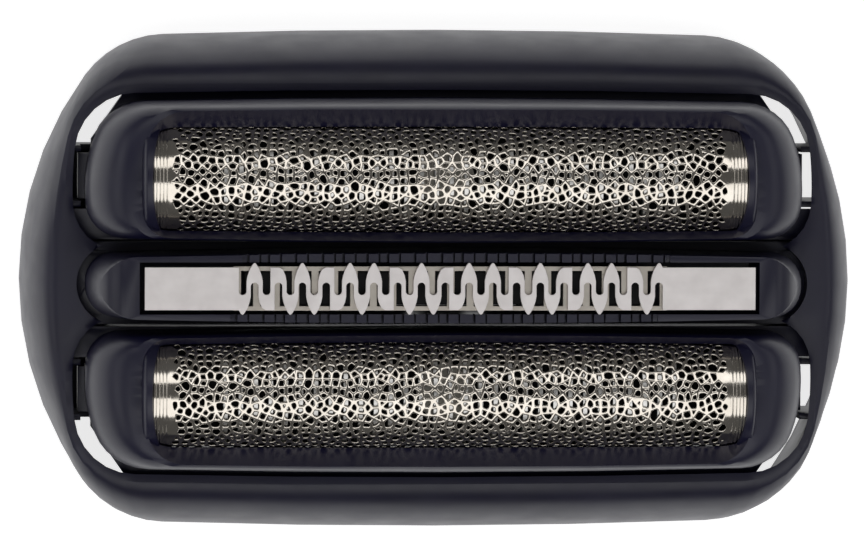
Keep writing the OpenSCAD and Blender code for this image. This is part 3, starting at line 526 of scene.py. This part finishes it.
def add_plain_foil(bm, on_arch, radius, half_len, leg, limit):
    """The foil outside its holes: grooved end strips over the arch, the lower arch and the straight legs."""
    quarter_arc = radius * math.pi / 2

    def grid(rows):
        made = [[bm.verts.new(p) for p in row] for row in rows]
        for one, two in zip(made, made[1:]):
            for k in range(len(one) - 1):
                bm.faces.new([one[k], one[k + 1], two[k + 1], two[k]])

    profile = [((i + place) * GROOVE_PITCH, depth * GROOVE_DEPTH)
               for i in range(STRIP_GROOVES) for place, depth in GROOVE_SHARES]
    profile.append((half_len - PERFORATED_HALF, 0.0))
    turns = [quarter_arc * (2 * k / END_ARCS - 1) for k in range(END_ARCS + 1)]
    for end in (-1, 1):
        for base in (0.0, FOIL_SHEET):
            grid([[on_arch(end * (PERFORATED_HALF + along), turn, base + depth) for turn in turns]
                  for along, depth in profile])
        grid([[on_arch(end * half_len, turn, depth) for turn in turns] for depth in (0.0, FOIL_SHEET)])
    spans = (-half_len, -PERFORATED_HALF, 0.0, PERFORATED_HALF, half_len)
    heights = [limit + (quarter_arc - limit) * k / LOWER_ARCS for k in range(LOWER_ARCS + 1)]
    for side in (-1, 1):
        for depth in (0.0, FOIL_SHEET):
            grid([[on_arch(u, side * height, depth) for u in spans[1:-1]] for height in heights])
            foot = [on_arch(u, side * quarter_arc, depth) for u in spans]
            grid([foot, [p - Vector((0, 0, leg)) for p in foot]])


# Springs


FLOAT_WIRE = 0.2 * MM
FLOAT_TURNS = 6
CUTTER_WIRE = 0.3 * MM
CUTTER_TURNS = 5
WIRE_SIDES = 12
TURN_STEPS = 28
# Rise of a closed turn, as a share of the wire
CLOSED_RISE = 1.08


def coil_mesh(name, middle, low_z, high_z, mean_radius, wire, turns):
    """A coil spring of round wire with closed ends."""
    height = high_z - low_z - wire
    closed = wire * CLOSED_RISE
    open_pitch = (height - 2 * closed) / (turns - 2)
    bm = bmesh.new()
    rings = []
    for i in range(turns * TURN_STEPS + 1):
        turn = i / TURN_STEPS
        if turn < 1:
            rise = closed * turn
        elif turn < turns - 1:
            rise = closed + open_pitch * (turn - 1)
        else:
            rise = height - closed * (turns - turn)
        angle = 2 * math.pi * turn
        ring = []
        for k in range(WIRE_SIDES):
            around = 2 * math.pi * k / WIRE_SIDES
            r = mean_radius + wire / 2 * math.cos(around)
            z = low_z + wire / 2 + rise + wire / 2 * math.sin(around)
            ring.append(bm.verts.new((middle.x + r * math.cos(angle), middle.y + r * math.sin(angle), z)))
        rings.append(ring)
    for one, two in zip(rings, rings[1:]):
        for k in range(WIRE_SIDES):
            j = (k + 1) % WIRE_SIDES
            bm.faces.new([one[k], one[j], two[j], two[k]])
    bm.faces.new(rings[0])
    bm.faces.new(rings[-1][::-1])
    bmesh.ops.recalc_face_normals(bm, faces=bm.faces)
    mesh = bpy.data.meshes.new(name)
    bm.to_mesh(mesh)
    bm.free()
    return mesh


def add_spring(node, body, wire, turns, travel):
    """A smooth coil in a CAD spring's place; travel is not used."""
    low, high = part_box(node)
    middle = (low + high) / 2
    mean_radius = (high.x - low.x - wire) / 2
    mesh = coil_mesh(node + "_coil", middle, low.z, high.z, mean_radius, wire, turns)
    piece = add_piece(node + "_coil", mesh, spring_wire, body, [node], COIL_SHARP)
    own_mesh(piece)


def travel_of(name):
    """How far a joint moves, in metres."""
    joint = next(j for j in frame["joints"] if j["name"] == name)
    return max(abs(v) for v in joint["range_m"])


smooth_moulding("outer_frame", "housing", navy, HOUSING_EDGE, flatten_lip)
smooth_moulding("trimmer_frame", "trimmer_unit", trimmer_navy, TRIMMER_EDGE)
for side in SIDES:
    unit = "foil_unit_" + side
    smooth_moulding("foil_frame_" + side, unit, frame_navy, FRAME_EDGE)
    web = foil_mesh("foil_" + side, WEB_SEEDS[side])
    add_piece("foil_%s_web" % side, web, foil_nickel, unit, ["foil_" + side],
              WEB_SHARP)
    coat("foil_holder_" + side, inner_black)
    coat("cutter_carrier_" + side, inner_black)
    coat("cutter_blades_" + side, lamella_steel)
    coat("drive_bush_" + side, natural_white)
    press = "bush_press_" + side
    add_spring("cutter_spring_" + side, "cutter_unit_" + side, CUTTER_WIRE, CUTTER_TURNS,
               travel_of(press))
    for end in ENDS:
        float_joint = "float_" + side
        add_spring("float_spring_%s_%s" % (side, end), "housing", FLOAT_WIRE, FLOAT_TURNS,
                   travel_of(float_joint))
for end in ENDS:
    add_spring("trimmer_spring_" + end, "housing", FLOAT_WIRE, FLOAT_TURNS,
               travel_of("float_trimmer"))
add_piece("trimmer_comb_plate", pointed_comb("trimmer_comb"), comb_steel, "trimmer_unit", ["trimmer_comb"],
          PLATE_SHARP)
coat("trimmer_blade", blade_steel)
coat("trimmer_slider", inner_black)
coat("trimmer_leaf_spring", spring_wire)


# Stage, light and camera


FLOOR_HALF = 3.0
FLOOR_DARK, FLOOR_LIGHT = (0.57, 0.57, 0.57), (0.60, 0.60, 0.60)
FLOOR_MOTTLE_SCALE = 3
FLOOR_ROUGHNESS = 0.8
FLOOR_SPECULAR = 0.1
# Added to the table's own light where the camera, a mirror or a clear piece shows it
FLOOR_WHITE = 0.8
AIM_LEVEL = 15 * MM
ROOM_STRENGTH = 0.09


def add_floor():
    """A pale table that the camera sees as plain white, also through the openings of the head."""
    half = FLOOR_HALF
    mesh = bpy.data.meshes.new("floor")
    corners = [(-half, -half, 0), (half, -half, 0), (half, half, 0), (-half, half, 0)]
    mesh.from_pydata(corners, [], [(0, 1, 2, 3)])
    floor = bpy.data.objects.new("floor", mesh)
    bpy.context.scene.collection.objects.link(floor)
    material, tree, shader = new_material("white_table")
    tree.links.new(two_tone(tree, noise(tree, FLOOR_MOTTLE_SCALE), FLOOR_DARK, FLOOR_LIGHT),
                   shader.inputs["Base Color"])
    shader.inputs["Roughness"].default_value = FLOOR_ROUGHNESS
    shader.inputs["Specular IOR Level"].default_value = FLOOR_SPECULAR
    shader.inputs["Emission Color"].default_value = (1, 1, 1, 1)
    path = tree.nodes.new("ShaderNodeLightPath")
    seen = path.outputs["Is Camera Ray"]
    for ray in ("Is Glossy Ray", "Is Transmission Ray"):
        either = tree.nodes.new("ShaderNodeMath")
        either.operation = "MAXIMUM"
        tree.links.new(seen, either.inputs[0])
        tree.links.new(path.outputs[ray], either.inputs[1])
        seen = either.outputs["Value"]
    glow = tree.nodes.new("ShaderNodeMath")
    glow.operation = "MULTIPLY"
    tree.links.new(seen, glow.inputs[0])
    glow.inputs[1].default_value = FLOOR_WHITE
    tree.links.new(glow.outputs["Value"], shader.inputs["Emission Strength"])
    mesh.materials.append(material)


def add_softbox(name, lean_y, lean_x, distance, width_y, length_x, radiance):
    """A rectangular light that faces the head, leaning from straight above by degrees towards +Y and +X."""
    light = bpy.data.lights.new(name, "AREA")
    light.shape = "RECTANGLE"
    light.size, light.size_y = length_x, width_y
    light.energy = radiance * math.pi * length_x * width_y
    box = bpy.data.objects.new(name, light)
    bpy.context.scene.collection.objects.link(box)
    way = Vector((math.tan(math.radians(lean_x)), math.tan(math.radians(lean_y)), 1)).normalized()
    box.location = Vector((0, 0, AIM_LEVEL)) + way * distance
    box.rotation_mode = "QUATERNION"
    box.rotation_quaternion = way.to_track_quat("Z", "Y")


def width_for(degrees, distance):
    """Width of a light that covers an angle seen from the head."""
    return 2 * distance * math.tan(math.radians(degrees) / 2)


LIGHT_AWAY = 0.5
# Name, lean towards +Y and +X in degrees, degrees that it covers, length in metres, radiance
SOFTBOXES = (
    ("front_softbox", -26, 0, 39, 0.9, 1.35),
    ("rear_softbox", 35.5, 0, 21, 0.9, 1.4),
    ("left_strip", 0, -67, 17, 0.4, 1.3),
    ("right_strip", 0, 61, 16, 0.4, 1.1),
)
for name, lean_y, lean_x, covers, length, radiance in SOFTBOXES:
    add_softbox(name, lean_y, lean_x, LIGHT_AWAY, width_for(covers, LIGHT_AWAY), length, radiance)

world = bpy.data.worlds.new("room")
bpy.context.scene.world = world
world.use_nodes = True
background = world.node_tree.nodes["Background"]
background.inputs["Color"].default_value = (1.0, 1.0, 1.0, 1)
background.inputs["Strength"].default_value = ROOM_STRENGTH

PHOTO_WIDTH = 864
SENSOR = 36.0
CAMERA_AWAY = 488 * MM
WIDEST_LEVEL = 2.0 * MM
SCALE_AT_WIDEST = 0.07005 * MM
LEAN_LEFT = math.radians(4.62)
LEAN_REAR = math.radians(2.91)
CAMERA_TARGET = Vector((-0.09 * MM, -0.07 * MM, WIDEST_LEVEL))


def add_camera():
    """A camera almost straight above, a little towards the left and the rear."""
    data = bpy.data.cameras.new("camera")
    data.sensor_width = SENSOR
    data.lens = CAMERA_AWAY / SCALE_AT_WIDEST / PHOTO_WIDTH * SENSOR
    data.clip_start, data.clip_end = 0.01, 10
    camera = bpy.data.objects.new("camera", data)
    bpy.context.scene.collection.objects.link(camera)
    back = Vector((-math.tan(LEAN_LEFT), math.tan(LEAN_REAR), 1)).normalized()
    camera.location = CAMERA_TARGET + back * CAMERA_AWAY
    right = Vector((1, 0, 0)) - back * back.x
    right.normalize()
    up = back.cross(right)
    camera.rotation_mode = "QUATERNION"
    camera.rotation_quaternion = Matrix((right, up, back)).transposed().to_quaternion()
    bpy.context.scene.camera = camera


add_floor()
add_camera()
bpy.context.scene.view_settings.view_transform = "Standard"
